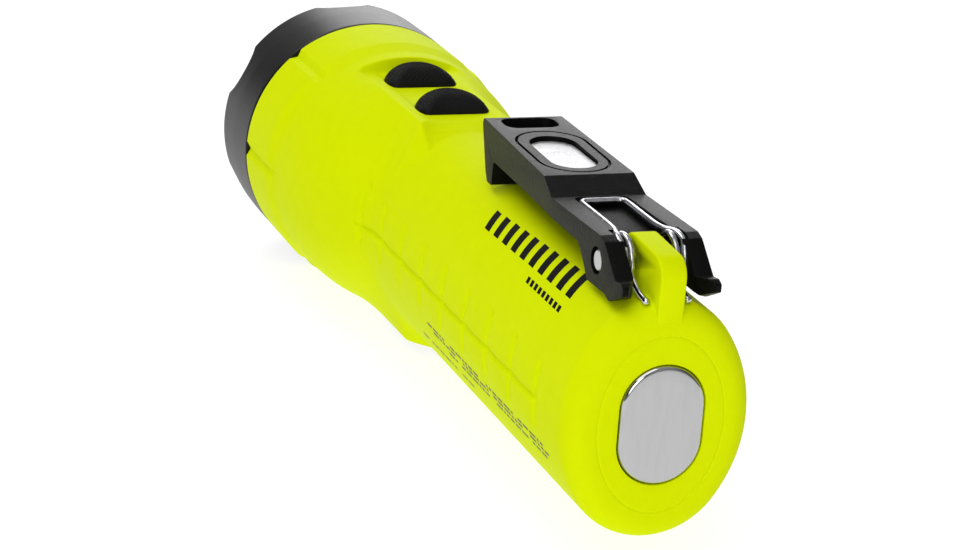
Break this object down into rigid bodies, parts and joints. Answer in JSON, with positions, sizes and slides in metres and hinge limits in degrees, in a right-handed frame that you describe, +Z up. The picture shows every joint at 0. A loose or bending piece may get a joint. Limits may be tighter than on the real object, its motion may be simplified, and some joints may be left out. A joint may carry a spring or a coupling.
{
  "type": "flashlight",
  "caption": "Firefighter's hand torch: oval handle, round head with a screw-on bezel, flood light underneath, rubber keys and a sprung magnetic clip.",
  "frame": {"origin": "centre of the steel plate on the tail, on the beam axis", "axes": "+X along the spot beam towards the lens, +Z up through the keys and the clip, +Y to the left of the beam"},
  "size_m": [0.184, 0.0524, 0.058],
  "materials": {
    "yellow_shell": "moulded, fine texture",
    "magnet": "nickel plated",
    "satin_steel": "satin",
    "bright_steel": "polished",
    "carrier": "moulded",
    "cell_wrap": "shrink wrap",
    "brass_contact": "satin",
    "spring_steel": "bright",
    "board": "solder mask",
    "chips": "moulded",
    "heat_sink": "as turned",
    "led_white": "solder mask",
    "led_chip": "phosphor",
    "red_wire": "insulation",
    "mirror_cup": "vapour coated",
    "seal_rubber": "matt",
    "key_rubber": "fine dimples",
    "clear_lens": "polished",
    "clip_black": "moulded, fine grain",
    "bezel_black": "moulded, fine grain"
  },
  "bodies": {
    "housing": {"body_shell": "yellow_shell", "bezel_seal": "seal_rubber", "reflector": "mirror_cup", "main_led": "led_chip", "led_board": "led_white", "led_screws": "spring_steel", "led_leads": "red_wire", "heat_sink": "heat_sink", "driver_board": "board", "driver_parts": "chips", "contact_pins": "brass_contact", "battery_carrier": "carrier", "battery_cells": "cell_wrap", "cell_contacts": "brass_contact", "contact_springs": "spring_steel", "switch_board": "board", "switch_front": "chips", "switch_rear": "chips", "switch_boot": "seal_rubber", "flood_lens": "clear_lens", "flood_gasket": "seal_rubber", "flood_board": "led_white", "flood_leds": "led_chip", "tail_magnet": "magnet", "tail_plate": "satin_steel"},
    "lens_carriage": {"lens": "clear_lens", "lens_gasket": "seal_rubber"},
    "bezel_ring": {"bezel": "bezel_black"},
    "clip": {"clip_arm": "clip_black", "clip_magnet": "magnet", "clip_plate": "bright_steel", "clip_pin": "satin_steel", "clip_spring": "spring_steel"},
    "front_button": {"key_front": "key_rubber", "plunger_front": "chips"},
    "rear_button": {"key_rear": "key_rubber", "plunger_rear": "chips"}
  },
  "joints": [
    {"name": "bezel_travel", "type": "slide", "parent": "housing", "child": "lens_carriage", "axis": [1, 0, 0], "range_m": [0, 0.006]},
    {"name": "bezel_turn", "type": "hinge", "parent": "lens_carriage", "child": "bezel_ring", "pos_m": [0.174, 0, 0], "axis": [1, 0, 0], "range_deg": [0, 1080]},
    {"name": "clip_pivot", "type": "hinge", "parent": "housing", "child": "clip", "pos_m": [0.0132, 0, 0.02474], "axis": [0, -1, 0], "range_deg": [0, 9], "stiffness_Nm_per_rad": 3, "springref_deg": -11.46, "deforming": ["clip_spring"]},
    {"name": "front_key_press", "type": "slide", "parent": "housing", "child": "front_button", "axis": [0, 0, -1], "range_m": [0, 0.0006], "stiffness_N_per_m": 3000, "springref_m": -0.0003},
    {"name": "rear_key_press", "type": "slide", "parent": "housing", "child": "rear_button", "axis": [0, 0, -1], "range_m": [0, 0.0006], "stiffness_N_per_m": 3000, "springref_m": -0.0003}
  ],
  "couplings": [
    {"joint": "bezel_travel", "follows": "bezel_turn", "m_per_rad": 0.00031831}
  ]
}
